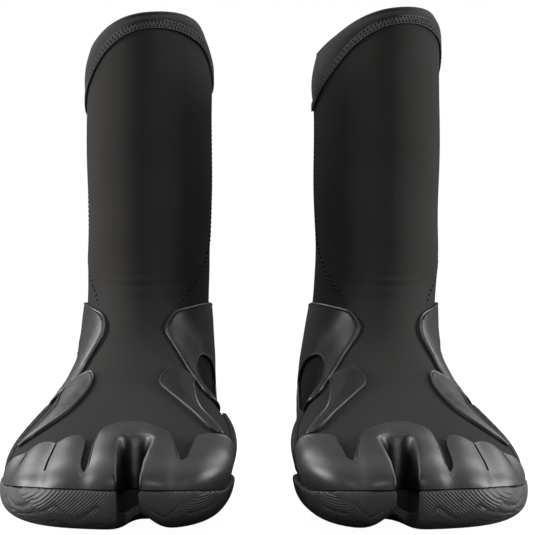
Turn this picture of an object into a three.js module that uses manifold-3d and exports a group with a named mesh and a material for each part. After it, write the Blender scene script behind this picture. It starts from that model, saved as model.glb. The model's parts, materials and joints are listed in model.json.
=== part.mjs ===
// A pair of split-toe neoprene boots for water sports, standing side by side on their soles.
// Millimetres, +Z up, toes towards -Y. Each boot is built in its own frame, with +X towards
// the other boot, and is then turned and moved to its place in the pair.
import * as THREE from "three";
import { mergeVertices } from "three/addons/utils/BufferGeometryUtils.js";
import Module from "manifold-3d";

const wasm = await Module();
wasm.setup();

// Driving sizes.
const footLength = 276; // soft boot, toe tip to back of heel
const forefootWidth = 100; // soft boot at the ball of the foot
const rimHeight = 241; // front of the rim above the ground
const neoprene = 5; // wall of the soft boot
const soleThickness = 6; // rubber under the foot
const soleWall = 3.4; // rubber around the foot, standing proud of the neoprene
const rubberSkin = 1.6; // toe cap, ankle cages, leaves, patches and heel cup
const clearance = 0.3; // glue line left open between touching pieces
const toeSpring = 8; // rise of the toe tip above the ground
const cleftWidth = 9; // slot between the big toe and the others
const cleftDepth = 38; // toe tip to the end of the slot
const cleftAcross = 13; // slot's middle, inward of the boot's middle line
const notchDepth = 24; // slot in the front of the outsole
const shaftDistance = 109.3; // between the middles of the two shafts
const seamTapeWidth = 3.6; // overlocked stitching under the collar
const ankleZone = { from: 98, to: 128 }; // soft ring that bends at the ankle, height above the ground
const toePanelBehind = 10; // toe panel's cross seam, behind the end of the slot, under the toe cap
const quarterSplit = 32; // cross seam between the foot's instep and heel panels
const shaftSplit = 80; // side seams of the shaft, at its middle
const leanZone = { from: 50, to: 130 }; // heights over which a shaft leans sideways
const littleToeBack = 16; // how far the toe line falls back from the big toe to the little toe
const drawn = { length: 276, width: 100 }; // foot that the rubber's outlines are drawn for
const toeLineStart = -20; // the toe line bends forward of here

// The foot's cross-sections from toe tip to ankle. Along: share of the foot's length from its
// middle, towards the heel. Up: above the outsole's top face. Widths: shares of the forefoot
// width. Each section runs from its sole point to its top point in a tilted plane.
const footSections = [
  // sole along, up; top along, up; inner and outer half widths; ridge; fullest; roundness x3
  [-0.5, 9, -0.5, 15, 0.08, 0.08, 0.08, 0.45, 2.6, 2.0, 2.0],
  [-0.493, 2.5, -0.496, 23, 0.28, 0.25, 0.08, 0.45, 2.8, 2.2, 2.0],
  [-0.464, 0.7, -0.467, 29, 0.39, 0.38, 0.1, 0.46, 3.2, 2.4, 2.1],
  [-0.406, 0, -0.409, 34.5, 0.465, 0.45, 0.11, 0.48, 3.5, 2.6, 2.2],
  [-0.319, 0, -0.326, 41, 0.49, 0.5, 0.11, 0.48, 3.6, 2.7, 2.2],
  [-0.21, 0, -0.225, 48, 0.485, 0.515, 0.1, 0.46, 3.6, 2.8, 2.1],
  [-0.091, 0, -0.116, 57.5, 0.435, 0.5, 0.08, 0.42, 3.4, 2.5, 2.0],
  [0.043, 0, -0.029, 68.5, 0.375, 0.455, 0.05, 0.38, 3.2, 2.2, 1.9],
  [0.181, 0, 0.029, 79, 0.35, 0.42, 0.03, 0.36, 3.0, 2.0, 1.9],
  [0.326, 0, 0.065, 88.5, 0.34, 0.39, 0.015, 0.38, 2.8, 2.0, 1.9],
  [0.449, 4, 0.089, 98, 0.32, 0.365, 0, 0.42, 2.5, 2.0, 1.95],
  [0.5, 26, 0.101, 108, 0.305, 0.335, 0, 0.46, 2.2, 2.0, 2.0],
  [0.489, 60, 0.107, 120, 0.295, 0.315, 0, 0.5, 2.1, 2.0, 2.0],
];
// The shaft's cross-sections above the ankle. Up: share of the way from the last foot section to
// the top of the form, which lies a little above the rim.
const shaftSections = [
  [0.469, 0.207, 0.109, 0.143, 0.303, 0.31, 0, 0.5, 2.0, 2.0, 2.0],
  [0.471, 0.447, 0.107, 0.361, 0.313, 0.315, 0, 0.5, 2.0, 2.0, 2.0],
  [0.478, 0.693, 0.103, 0.622, 0.31, 0.315, 0, 0.5, 2.0, 2.0, 2.0],
  [0.486, 1, 0.098, 1, 0.305, 0.31, 0, 0.5, 2.0, 2.0, 2.0],
];
const formTop = rimHeight + 6;
const springStart = -20; // where the sole starts to rise towards the toes
const springPower = 1.2;

// Heights of the collar's rim and of its seam, every eighth of a turn from the front towards +X,
// measured from the rim's height at the front.
const rimSteps = [0, -3, -21, -22, -17, -13, -10, -5];
const seamSteps = [-6, -11.5, -27, -35, -41, -40, -35, -21];

const sides = {
  right: { mirror: 1, toeOut: 3.2, lean: 0, rise: 0 },
  left: { mirror: -1, toeOut: 6, lean: 6, rise: 2.5 },
};

const columns = 18; // points around a cross-section
const far = 400; // longer than the boot, for cutting blocks
const wallBand = { inner: 20, outer: 64 }; // the shaft's wall lies between these radii

const looks = {
  neoprene: { color: 0x262628, roughness: 0.95, metalness: 0 },
  collar: { color: 0x2f2d33, roughness: 0.9, metalness: 0 },
  stitching: { color: 0x8a8a8c, roughness: 0.85, metalness: 0 },
  rubber: { color: 0x46464a, roughness: 0.6, metalness: 0 },
  patch: { color: 0x2e2e31, roughness: 0.75, metalness: 0 },
  outsole: { color: 0x1d1d1f, roughness: 0.7, metalness: 0 },
};

// Solids from three.js geometry, joined and cut by manifold-3d.
function toSolid(geometry) {
  const plain = geometry.clone();
  plain.deleteAttribute("normal");
  plain.deleteAttribute("uv");
  const merged = mergeVertices(plain, 1e-5);
  const mesh = new wasm.Mesh({
    numProp: 3,
    vertProperties: new Float32Array(merged.attributes.position.array),
    triVerts: new Uint32Array(merged.index.array),
  });
  return new wasm.Manifold(mesh);
}

// The toe line falls back from the big toe to the little toe. Swept moves a whole solid's points.
function sweepToes(point) {
  const share = Math.max(0, (cleftAcross - cleftWidth / 2 - point.x) / (forefootWidth / 2));
  const nearToes = THREE.MathUtils.smoothstep(-point.y, -toeLineStart, footLength / 2);
  return point.setY(point.y + littleToeBack * nearToes * share ** 1.3);
}

function toGeometry(solid) {
  const { vertProperties, triVerts } = solid.getMesh();
  const geometry = new THREE.BufferGeometry();
  geometry.setAttribute("position", new THREE.BufferAttribute(vertProperties, 3));
  geometry.setIndex(new THREE.BufferAttribute(triVerts, 1));
  return geometry;
}

function swept(solid) {
  const geometry = toGeometry(solid);
  const { position } = geometry.attributes;
  const point = new THREE.Vector3();
  for (let index = 0; index < position.count; index += 1) {
    sweepToes(point.fromBufferAttribute(position, index));
    position.setXYZ(index, point.x, point.y, point.z);
  }
  return toSolid(geometry);
}

function toMesh(name, solid, look) {
  const geometry = toGeometry(solid);
  geometry.computeVertexNormals();
  const mesh = new THREE.Mesh(geometry, new THREE.MeshStandardMaterial(looks[look]));
  mesh.name = name;
  return mesh;
}

// A closed body from rings of points, with a centre point over the first and the last ring.
function closedRings(rings) {
  const around = rings[0].length;
  const middle = (ring) => ring.reduce((sum, p) => sum.add(p), new THREE.Vector3()).divideScalar(around);
  const points = [...rings.flat(), middle(rings[0]), middle(rings.at(-1))];
  const faces = [];
  for (let column = 0; column < around; column += 1) {
    const next = (column + 1) % around;
    const lastRow = (rings.length - 1) * around;
    faces.push(points.length - 2, next, column);
    faces.push(points.length - 1, lastRow + column, lastRow + next);
    for (let row = 0; row < rings.length - 1; row += 1) {
      const here = row * around;
      const above = here + around;
      faces.push(here + column, here + next, above + next);
      faces.push(here + column, above + next, above + column);
    }
  }
  const geometry = new THREE.BufferGeometry().setFromPoints(points);
  geometry.setIndex(faces);
  const solid = toSolid(geometry);
  return solid.volume() > 0 ? solid : toSolid(geometry.setIndex(faces.reverse()));
}

function block(from, to) {
  const size = new THREE.Vector3().subVectors(to, from);
  const geometry = new THREE.BoxGeometry(size.x, size.y, size.z);
  geometry.translate(from.x + size.x / 2, from.y + size.y / 2, from.z + size.z / 2);
  return toSolid(geometry);
}

const levelBlock = (low, high) => block(new THREE.Vector3(-far, -far, low), new THREE.Vector3(far, far, high));
const alongBlock = (front, back) => block(new THREE.Vector3(-far, front, -far), new THREE.Vector3(far, back, far));

// A prism over an outline drawn on the ground, or on the boot's middle plane when sideways.
function prism(shape, sideways, from, to) {
  const geometry = new THREE.ExtrudeGeometry(shape, { depth: to - from, bevelEnabled: false, curveSegments: 6 });
  geometry.translate(0, 0, from);
  if (sideways) {
    geometry.applyMatrix4(new THREE.Matrix4().set(0, 0, 1, 0, 1, 0, 0, 0, 0, 1, 0, 0, 0, 0, 0, 1));
  }
  return toSolid(geometry);
}

const outline = (points) => new THREE.Shape(points.map(([x, y]) => new THREE.Vector2(x, y)));
function roundedOutline(points, steps) {
  const corners = points.map(([x, y]) => new THREE.Vector3(x, y, 0));
  const curve = new THREE.CatmullRomCurve3(corners, true, "centripetal");
  return new THREE.Shape(curve.getSpacedPoints(steps).slice(0, -1).map((p) => new THREE.Vector2(p.x, p.y)));
}

// The boot's outer form.
function springAt(along) {
  const reach = Math.max(0, springStart - along) / (footLength / 2 + springStart);
  return toeSpring * reach ** springPower;
}

function sectionTable() {
  const foot = footSections.map(([soleAlong, soleUp, topAlong, topUp, ...rest]) => [
    soleAlong * footLength,
    soleThickness + springAt(soleAlong * footLength) + soleUp,
    topAlong * footLength,
    soleThickness + topUp,
    ...rest,
  ]);
  const [, soleBase, , topBase] = foot.at(-1);
  const shaft = shaftSections.map(([soleAlong, soleShare, topAlong, topShare, ...rest]) => [
    soleAlong * footLength,
    soleBase + soleShare * (formTop - soleBase),
    topAlong * footLength,
    topBase + topShare * (formTop - topBase),
    ...rest,
  ]);
  return [...foot, ...shaft];
}
const sections = sectionTable();

function smooth(before, from, to, after, share) {
  const leave = (to - before) / 2;
  const arrive = (after - from) / 2;
  const bend = 2 * from - 2 * to + leave + arrive;
  const turn = 3 * to - 3 * from - 2 * leave - arrive;
  return ((bend * share + turn) * share + leave) * share + from;
}

function sectionAt(place) {
  const last = sections.length - 1;
  const index = Math.min(Math.floor(place * last), last - 1);
  const pick = (step) => sections[Math.min(Math.max(index + step, 0), last)];
  return pick(0).map((_, key) => smooth(pick(-1)[key], pick(0)[key], pick(1)[key], pick(2)[key], place * last - index));
}

// Outward direction of the sole line or the top line, seen from the side.
function lineNormal(place, key, turn) {
  const step = 0.002;
  const before = sectionAt(Math.max(place - step, 0));
  const after = sectionAt(Math.min(place + step, 1));
  const tangent = new THREE.Vector2(after[key] - before[key], after[key + 1] - before[key + 1]).normalize();
  return { along: turn * tangent.y, up: -turn * tangent.x };
}

// One cross-section of the form, grown by reach sideways and by under below.
function sectionRing(place, reach, under, lean) {
  const [soleAlong, soleUp, topAlong, topUp, inner, outer, ridge, full, low, innerRound, outerRound] = sectionAt(place);
  const soleNormal = lineNormal(place, 0, 1);
  const topNormal = lineNormal(place, 2, -1);
  const sole = { along: soleAlong + reach * soleNormal.along, up: soleUp + under * soleNormal.up };
  const top = { along: topAlong + reach * topNormal.along, up: topUp + reach * topNormal.up };
  const ring = [];
  for (let column = 0; column < columns; column += 1) {
    const angle = (2 * Math.PI * column) / columns;
    const rise = -Math.cos(angle);
    const across = Math.sin(angle);
    const upper = across > 0 ? innerRound : outerRound;
    const power = 2 / (rise < 0 ? low : upper);
    const height = Math.abs(rise) ** power;
    const share = rise < 0 ? full * (1 - height) : full + (1 - full) * height;
    const halfWidth = (across > 0 ? inner : outer) * forefootWidth + reach;
    const up = sole.up + share * (top.up - sole.up);
    const sway = lean * THREE.MathUtils.smoothstep(up, leanZone.from, leanZone.to);
    ring.push(new THREE.Vector3(
      halfWidth * Math.sign(across) * Math.abs(across) ** power + ridge * forefootWidth * share ** 2 - sway,
      sole.along + share * (top.along - sole.along),
      up,
    ));
  }
  return ring;
}

function formSolid(reach, lean, under = reach) {
  const last = sections.length - 1;
  return closedRings(sections.map((_, row) => sectionRing(row / last, reach, under, lean)));
}

// The slot between the toes, wider at the top of the foot, with a round end.
function cleftSolid(extra) {
  const levels = [[-20, 0], [soleThickness + 22, 0], [soleThickness + 30, 1], [soleThickness + 38, 3], [90, 6]];
  const roundPoints = 6;
  const rings = levels.map(([up, flare]) => {
    const radius = cleftWidth / 2 + flare + extra;
    const end = -footLength / 2 + cleftDepth - cleftWidth / 2;
    const ring = [new THREE.Vector3(cleftAcross - radius, -far, up), new THREE.Vector3(cleftAcross + radius, -far, up)];
    for (let step = 0; step <= roundPoints; step += 1) {
      const angle = (Math.PI * step) / roundPoints;
      ring.push(new THREE.Vector3(cleftAcross + radius * Math.cos(angle), end + radius * Math.sin(angle), up));
    }
    return ring;
  });
  return closedRings(rings);
}

// Everything below a wavy level that is given every eighth of a turn from the front.
function belowLevel(steps, offset, side) {
  const count = 16;
  const levelAt = (turn) => {
    const place = ((turn * sides[side].mirror + 1) % 1) * steps.length;
    const index = Math.floor(place);
    const pick = (step) => steps[(index + step + steps.length) % steps.length];
    return rimHeight + sides[side].rise + offset + smooth(pick(-1), pick(0), pick(1), pick(2), place - index);
  };
  const rows = [[far, () => -far], [far, levelAt], [wallBand.outer, levelAt], [wallBand.inner, levelAt]];
  const rings = rows.map(([radius, heightAt]) => Array.from({ length: count }, (_, column) => {
    const turn = column / count;
    const angle = 2 * Math.PI * turn;
    return new THREE.Vector3(radius * Math.sin(angle), shaftSplit - radius * Math.cos(angle), heightAt(turn));
  }));
  return closedRings(rings);
}

// Outlines of the rubber pieces. Along and up are in the boot's frame, from the side; across and
// along are in plan. They follow the foot's shape and keep clear of each other by their own gaps,
// and stretch with the foot's length and the forefoot's width.
const stretch = { along: footLength / drawn.length, across: forefootWidth / drawn.width };
const fromSide = (points) => points.map(([along, up]) => [along * stretch.along, up]);
const inPlan = (points) => points.map(([across, along]) => [across * stretch.across, along * stretch.along]);
const halfLength = footLength / 2;
const soleEdge = [[-halfLength - 20, 28], [-halfLength, 27], [-halfLength + 30, 24], [-halfLength + 80, 22], [0, 20],
  [halfLength - 40, 20], [halfLength, 30], [halfLength + 20, 36]];
const cages = {
  inner: {
    edge: [[100, 94], [36, 94.5], [18, 88], [3, 73.5], [-14, 64], [-34, 55], [-16, 47], [20, 38], [70, 38], [108, 52],
      [116, 76]],
    window: [[-18, 56.5], [8, 66], [40, 73], [76, 69], [96, 57], [70, 46], [30, 45], [0, 50]],
  },
  outer: {
    edge: [[100, 94], [34, 93.5], [20, 86], [6, 72], [-12, 58.5], [-2, 49], [24, 40], [70, 38], [108, 52], [116, 76]],
    window: [[6, 58], [22, 67], [46, 73], [78, 69], [96, 57], [72, 46], [40, 45], [18, 50]],
  },
};
const leaves = {
  inner: [[17, -38], [17, -27], [21, -17], [29, -18], [31, -30], [37, -62], [48, -84], [44, -84], [33, -67], [21, -46]],
  outer: [[-16.5, -22], [-20, -12], [-29, -10], [-31, -25], [-31, -45], [-36, -64], [-43, -80], [-38, -80], [-24, -62],
    [-18, -40]],
};
const leafFloor = 30; // the leaves lie above this height
const patches = {
  inner: [[-44, 49], [-72, 41], [-80, 36], [-80, 25], [6, 25], [2, 36], [-18, 43]],
  outer: [[-16, 51], [-28, 46.5], [-50, 39], [-76, 31], [-84, 26], [6, 25], [4, 38], [-6, 46]],
};
const heelCup = [[168, 62], [112, 48], [78, 34], [38, 31], [30, 25], [30, 10], [168, 10]];
const toeCap = [
  [-64, -97], [-44, -100], [-36, -103], [-32, -101], [-27, -101], [-22.5, -105], [-19, -103.5], [-13, -102.5],
  [-10, -108], [-8, -134], [-6.2, -136], [-4.8, -134], [-4.5, -110], [-2, -94], [4, -88.5], [11, -88], [18, -92],
  [25, -101], [31, -121], [34, -126], [36.8, -123], [38.5, -114], [41.5, -99], [47, -92], [53, -84],
  [66, -82], [66, -far], [-64, -far],
];
const capSlits = [
  { from: [-35.4, -99], to: [-39, -115] },
  { from: [-22.6, -99], to: [-25, -131] },
];
const slitWidth = 1.2;

// The area below the outsole's upper edge, raised or lowered by offset.
function belowSoleEdge(offset) {
  const curve = new THREE.SplineCurve(soleEdge.map(([along, up]) => new THREE.Vector2(along, up + offset)));
  const top = curve.getPoints(16);
  const floor = [new THREE.Vector2(top.at(-1).x, -far), new THREE.Vector2(top[0].x, -far)];
  return prism(new THREE.Shape([...top, ...floor]), true, -far, far);
}

function slit({ from, to }) {
  const [start, end] = inPlan([from, to]).map((corner) => new THREE.Vector2(...corner));
  const sideStep = end.clone().sub(start).rotateAround(new THREE.Vector2(), Math.PI / 2).setLength(slitWidth / 2);
  const corners = [start.clone().add(sideStep), end.clone().add(sideStep), end.clone().sub(sideStep),
    start.clone().sub(sideStep)];
  return prism(new THREE.Shape(corners), false, 0, far);
}

function makeBoot(side) {
  const { lean } = sides[side];
  const form = formSolid(0, lean);
  const seat = formSolid(clearance, lean);
  const skin = formSolid(clearance + rubberSkin, lean).subtract(seat);
  const cleft = cleftSolid(0);
  const room = formSolid(-neoprene, lean).subtract(cleftSolid(neoprene)).decompose();
  const hollow = room.reduce((largest, part) => (part.volume() > largest.volume() ? part : largest));
  const rim = belowLevel(rimSteps, 0, side);
  const sock = form.subtract(cleft).subtract(hollow).intersect(rim);
  const boot = new THREE.Group();
  const addSwept = (name, solid, look) => boot.add(toMesh(`${side}_${name}`, solid, look));
  const add = (name, solid, look) => addSwept(name, swept(solid), look);

  // Outsole: a cup around the foot with a flat underside and a notch between the toe lobes.
  const blank = formSolid(soleWall, lean, soleThickness + 1).intersect(levelBlock(0, far));
  const notch = cleftSolid(0).intersect(alongBlock(-far, -halfLength + notchDepth));
  add("outsole", blank.intersect(belowSoleEdge(0)).subtract(seat).subtract(notch), "outsole");

  // Soft boot: sole, toe, instep and heel panels, ankle ring, shaft panels and collar.
  const soleSeam = 10;
  const lowPart = belowSoleEdge(-soleSeam);
  const upper = sock.subtract(belowSoleEdge(clearance - soleSeam));
  const foot = upper.intersect(levelBlock(0, ankleZone.from));
  const belowSeam = belowLevel(seamSteps, -clearance / 2, side);
  const shaft = upper.intersect(levelBlock(ankleZone.to + clearance, far)).intersect(belowSeam);
  add("sole_panel", sock.intersect(lowPart), "neoprene");
  const toeSeam = -halfLength + cleftDepth + toePanelBehind;
  const sweptFoot = swept(foot);
  addSwept("toe_panel", sweptFoot.intersect(alongBlock(-far, toeSeam)), "neoprene");
  addSwept("instep_panel", sweptFoot.intersect(alongBlock(toeSeam + clearance, quarterSplit)), "neoprene");
  add("heel_panel", foot.intersect(alongBlock(quarterSplit + clearance, far)), "neoprene");
  add("ankle_ring", upper.intersect(levelBlock(ankleZone.from + clearance, ankleZone.to)), "neoprene");
  add("shaft_front", shaft.intersect(alongBlock(-far, shaftSplit)), "neoprene");
  add("shaft_back", shaft.intersect(alongBlock(shaftSplit + clearance, far)), "neoprene");
  add("collar", sock.subtract(belowLevel(seamSteps, clearance / 2, side)), "collar");

  // Stitching: a flat overlocked band laid over the collar's seam.
  const tape = skin.intersect(belowLevel(seamSteps, seamTapeWidth / 2, side));
  add("collar_stitching", tape.subtract(belowLevel(seamSteps, -seamTapeWidth / 2, side)), "stitching");

  // Rubber skins glued to the neoprene above the outsole's edge.
  const openSkin = skin.subtract(belowSoleEdge(clearance)).subtract(cleft);
  const cap = capSlits.reduce((solid, place) => solid.subtract(slit(place)), openSkin);
  add("toe_cap", cap.intersect(prism(outline(inPlan(toeCap)), false, 0, far)), "rubber");
  add("heel_cup", openSkin.intersect(prism(outline(fromSide(heelCup)), true, -far, far)), "rubber");
  const halves = { inner: [0, far], outer: [-far, 0] };
  for (const [half, [from, to]] of Object.entries(halves)) {
    const window = prism(roundedOutline(fromSide(cages[half].window), 14), true, from, to);
    const cage = openSkin.intersect(prism(roundedOutline(fromSide(cages[half].edge), 22), true, from, to));
    const leaf = openSkin.intersect(prism(roundedOutline(inPlan(leaves[half]), 14), false, leafFloor, far));
    const patch = openSkin.intersect(prism(outline(fromSide(patches[half])), true, from, to));
    add(`${half}_ankle_cage`, cage.subtract(window), "rubber");
    add(`${half}_instep_leaf`, leaf, "rubber");
    add(`${half}_side_patch`, patch, "patch");
  }
  return boot;
}

// The pair, with its middle on the Z axis and its soles on the ground.
const pair = new THREE.Group();
for (const [side, { mirror, toeOut }] of Object.entries(sides)) {
  const boot = makeBoot(side);
  boot.position.set(0, -shaftSplit, 0);
  const turned = new THREE.Group();
  turned.add(boot);
  turned.scale.x = mirror;
  turned.rotation.z = -mirror * THREE.MathUtils.degToRad(toeOut);
  turned.position.set((-mirror * shaftDistance) / 2, 0, 0);
  pair.add(turned);
}
pair.updateMatrixWorld(true);
const box = new THREE.Box3().setFromObject(pair);
const middle = box.getCenter(new THREE.Vector3());
pair.position.set(-middle.x, -middle.y, -box.min.z);
pair.updateMatrixWorld(true);

export default pair;
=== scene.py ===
"""A pair of split-toe neoprene boots for water sports, standing side by side on their soles.

Metres, +Z up, toes towards -Y. Every piece is drawn once for the wearer's right boot, in that
boot's own frame with +X towards the other boot, and is then put in its place in the pair.
"""
import json
import bmesh
import bpy
import numpy as np
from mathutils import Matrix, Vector


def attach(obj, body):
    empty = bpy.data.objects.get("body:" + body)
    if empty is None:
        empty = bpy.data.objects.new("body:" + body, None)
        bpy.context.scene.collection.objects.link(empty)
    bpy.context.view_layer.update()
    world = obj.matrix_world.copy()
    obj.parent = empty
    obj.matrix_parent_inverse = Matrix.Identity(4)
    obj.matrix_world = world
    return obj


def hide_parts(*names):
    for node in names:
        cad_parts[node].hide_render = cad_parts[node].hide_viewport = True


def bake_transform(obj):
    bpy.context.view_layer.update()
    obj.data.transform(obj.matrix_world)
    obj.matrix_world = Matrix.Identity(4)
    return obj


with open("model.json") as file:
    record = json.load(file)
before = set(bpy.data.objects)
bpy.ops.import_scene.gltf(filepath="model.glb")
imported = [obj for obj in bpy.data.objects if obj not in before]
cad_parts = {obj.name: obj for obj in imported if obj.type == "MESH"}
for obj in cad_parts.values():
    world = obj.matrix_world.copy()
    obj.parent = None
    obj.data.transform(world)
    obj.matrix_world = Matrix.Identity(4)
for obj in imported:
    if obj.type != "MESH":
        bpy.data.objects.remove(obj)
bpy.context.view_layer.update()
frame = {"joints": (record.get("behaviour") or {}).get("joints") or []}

# ---------------------------------------------------------------------------------------------
# Soft boot. A sock of 5 mm foam neoprene faced with fine black jersey, cut as a front part, a rear
# part and a sole, blind-stitched edge to edge over one foot-shaped last. The big toe is parted
# from the others by a slot. The ankle stays soft.
MM = 0.001
FOOT_LENGTH = 276 * MM
FOREFOOT_WIDTH = 100 * MM
RIM_HEIGHT = 241 * MM
NEOPRENE = 5 * MM
SOLE_THICKNESS = 6 * MM
TOE_SPRING = 8 * MM
SPRING_START = -20 * MM
SHAFT_MIDDLE = 80 * MM
INNER, OUTER = 1, -1
CLEFT_ACROSS = 13 * MM
CLEFT_WIDTH = 9 * MM
CLEFT_DEPTH = 31 * MM
# The rubber skins over the neoprene, and the glue that holds them.
SKIN = 1.6 * MM
GLUE_LINE = 0.3 * MM
# Cutting shapes end well past the boot: this far out, and this far under the floor.
FAR_OUT = 0.2
FAR_UNDER = -0.1

# Cross-sections of the last from toe tip to ankle. Columns: along and up of the sole point, along
# and up of the top point, inner and outer half width, ridge, fullest height, three roundnesses.
# Along and widths are shares of the foot's length and width; up is in millimetres over the sole.
FOOT_SECTIONS = np.array([
    [-0.5, 7.5, -0.5, 17, 0.08, 0.08, 0.08, 0.45, 2.6, 2.0, 2.0],
    [-0.493, 2.5, -0.496, 23, 0.28, 0.25, 0.08, 0.45, 2.8, 2.2, 2.0],
    [-0.464, 0.7, -0.467, 29, 0.39, 0.38, 0.1, 0.46, 3.2, 2.4, 2.1],
    [-0.406, 0, -0.409, 34.5, 0.465, 0.45, 0.11, 0.48, 3.5, 2.6, 2.2],
    [-0.319, 0, -0.326, 41, 0.49, 0.5, 0.11, 0.48, 3.6, 2.7, 2.2],
    [-0.21, 0, -0.225, 48, 0.485, 0.515, 0.1, 0.46, 3.6, 2.8, 2.1],
    [-0.091, 0, -0.116, 57.5, 0.435, 0.5, 0.08, 0.42, 3.4, 2.5, 2.0],
    [0.043, 0, -0.029, 68.5, 0.375, 0.455, 0.05, 0.38, 3.2, 2.2, 1.9],
    [0.181, 0, 0.029, 79, 0.35, 0.42, 0.03, 0.36, 3.0, 2.0, 1.9],
    [0.326, 0, 0.065, 88.5, 0.34, 0.39, 0.015, 0.38, 2.8, 2.0, 1.9],
    [0.449, 4, 0.089, 98, 0.32, 0.365, 0, 0.42, 2.5, 2.0, 1.95],
    [0.5, 26, 0.101, 108, 0.305, 0.335, 0, 0.46, 2.2, 2.0, 2.0],
    [0.489, 60, 0.107, 120, 0.295, 0.315, 0, 0.5, 2.1, 2.0, 2.0],
])
# The shaft's sections go on from there; up is the share of the way to the top of the last.
SHAFT_SECTIONS = np.array([
    [0.469, 0.207, 0.109, 0.143, 0.303, 0.31, 0, 0.5, 2.0, 2.0, 2.0],
    [0.471, 0.447, 0.107, 0.361, 0.313, 0.315, 0, 0.5, 2.0, 2.0, 2.0],
    [0.478, 0.693, 0.103, 0.622, 0.31, 0.315, 0, 0.5, 2.0, 2.0, 2.0],
    [0.486, 1, 0.098, 1, 0.305, 0.31, 0, 0.5, 2.0, 2.0, 2.0],
])
LAST_TOP = RIM_HEIGHT + 6 * MM


def smoothstep(value, start, end):
    """0 before start, 1 after end, and 3t^2 - 2t^3 between."""
    t = np.clip((value - start) / (end - start), 0, 1)
    return t * t * (3 - 2 * t)


def section_table():
    """The sections in metres, with the sole line lifted towards the toes by the toe spring."""
    foot = FOOT_SECTIONS.copy()
    foot[:, [0, 2]] *= FOOT_LENGTH
    spring_share = np.maximum(0, SPRING_START - foot[:, 0]) / (FOOT_LENGTH / 2 + SPRING_START)
    foot[:, [1, 3]] = foot[:, [1, 3]] * MM + SOLE_THICKNESS
    foot[:, 1] += TOE_SPRING * spring_share ** 1.2
    shaft = SHAFT_SECTIONS.copy()
    shaft[:, [0, 2]] *= FOOT_LENGTH
    shaft[:, [1, 3]] = foot[-1, [1, 3]] + shaft[:, [1, 3]] * (LAST_TOP - foot[-1, [1, 3]])
    table = np.vstack([foot, shaft])
    table[:, [4, 5, 6]] *= FOREFOOT_WIDTH
    return table


SECTIONS = section_table()


def along_rows(rows, share):
    """Smooth curve through the rows of a table: a Catmull-Rom cubic from each row to the next."""
    last = len(rows) - 1
    place = np.clip(share, 0, 1) * last
    index = np.minimum(place.astype(int), last - 1)
    w = (place - index)[..., None]
    before, start, end, after = (rows[np.clip(index + step, 0, last)] for step in (-1, 0, 1, 2))
    leave = (end - before) / 2
    arrive = (after - start) / 2
    return (((2 * start - 2 * end + leave + arrive) * w + 3 * end - 3 * start - 2 * leave - arrive) * w
            + leave) * w + start


def side_normal(share, column, turn):
    """Outward unit direction (along, up) of the sole line or the top line, seen from the side."""
    step = 0.002
    after = along_rows(SECTIONS, np.minimum(share + step, 1))
    before = along_rows(SECTIONS, np.maximum(share - step, 0))
    tangent = (after - before)[..., column:column + 2]
    tangent = tangent / np.linalg.norm(tangent, axis=-1, keepdims=True)
    return turn * tangent[..., 1], -turn * tangent[..., 0]


def last_points(share, angle, reach=0.0, under=None):
    """The last's surface, grown outwards by reach. Share runs from the toe tip to the top of the
    shaft. At each share a closed superellipse stands in a tilted plane between the sole point and
    the top point; angle starts at the sole and turns towards the inner side."""
    share, angle = np.broadcast_arrays(np.asarray(share, float), np.asarray(angle, float))
    under = reach if under is None else under
    sole_y, sole_z, top_y, top_z, inner, outer, ridge, full, low, inner_round, outer_round = np.moveaxis(
        along_rows(SECTIONS, share), -1, 0)
    sole_out = side_normal(share, 0, 1)
    top_out = side_normal(share, 2, -1)
    sole_y = sole_y + reach * sole_out[0]
    sole_z = sole_z + under * sole_out[1]
    top_y = top_y + reach * top_out[0]
    top_z = top_z + reach * top_out[1]
    rise = -np.cos(angle)
    across = np.sin(angle)
    power = 2 / np.where(rise < 0, low, np.where(across > 0, inner_round, outer_round))
    height = np.abs(rise) ** power
    up = np.where(rise < 0, full * (1 - height), full + (1 - full) * height)
    half = np.where(across > 0, inner, outer) + reach
    x = half * np.sign(across) * np.abs(across) ** power + ridge * up ** 2
    return np.stack([x, sole_y + up * (top_y - sole_y), sole_z + up * (top_z - sole_z)], -1)


def even_angles(count):
    """Angles round a section, closer together at its sole, sides and top, where it is flattest."""
    even = np.arange(count) * 2 * np.pi / count
    return even - 0.17 * np.sin(4 * even)


def mesh_from(points, faces):
    """A checked mesh from points in any grid shape and lists of corner numbers."""
    mesh = bpy.data.meshes.new("shape")
    mesh.from_pydata(points.reshape(-1, 3), [], faces)
    mesh.validate()
    return mesh


def grid_faces(rows, columns, wrap_rows=False):
    """Quads of a grid whose columns close on themselves, and whose rows may too."""
    row, column = np.meshgrid(np.arange(rows if wrap_rows else rows - 1), np.arange(columns), indexing="ij")
    after = (column + 1) % columns
    above = (row + 1) % rows
    quads = [row * columns + column, row * columns + after, above * columns + after, above * columns + column]
    return np.stack(quads, -1).reshape(-1, 4).tolist()


def closed_band(grid):
    """A closed mesh from a grid of points that closes on itself in both directions."""
    return outward(mesh_from(grid, grid_faces(*grid.shape[:2], wrap_rows=True)))


def closed_rings(rings):
    """A closed mesh from rings of points, with one centre point over the first and the last ring."""
    rows, columns = rings.shape[:2]
    points = np.vstack([rings.reshape(-1, 3), rings[0].mean(0), rings[-1].mean(0)])
    here = np.arange(columns)
    after = (here + 1) % columns
    first = np.stack([np.full(columns, rows * columns), after, here], -1)
    last_row = (rows - 1) * columns
    last = np.stack([np.full(columns, rows * columns + 1), last_row + here, last_row + after], -1)
    return outward(mesh_from(points, grid_faces(rows, columns) + first.tolist() + last.tolist()))


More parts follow.
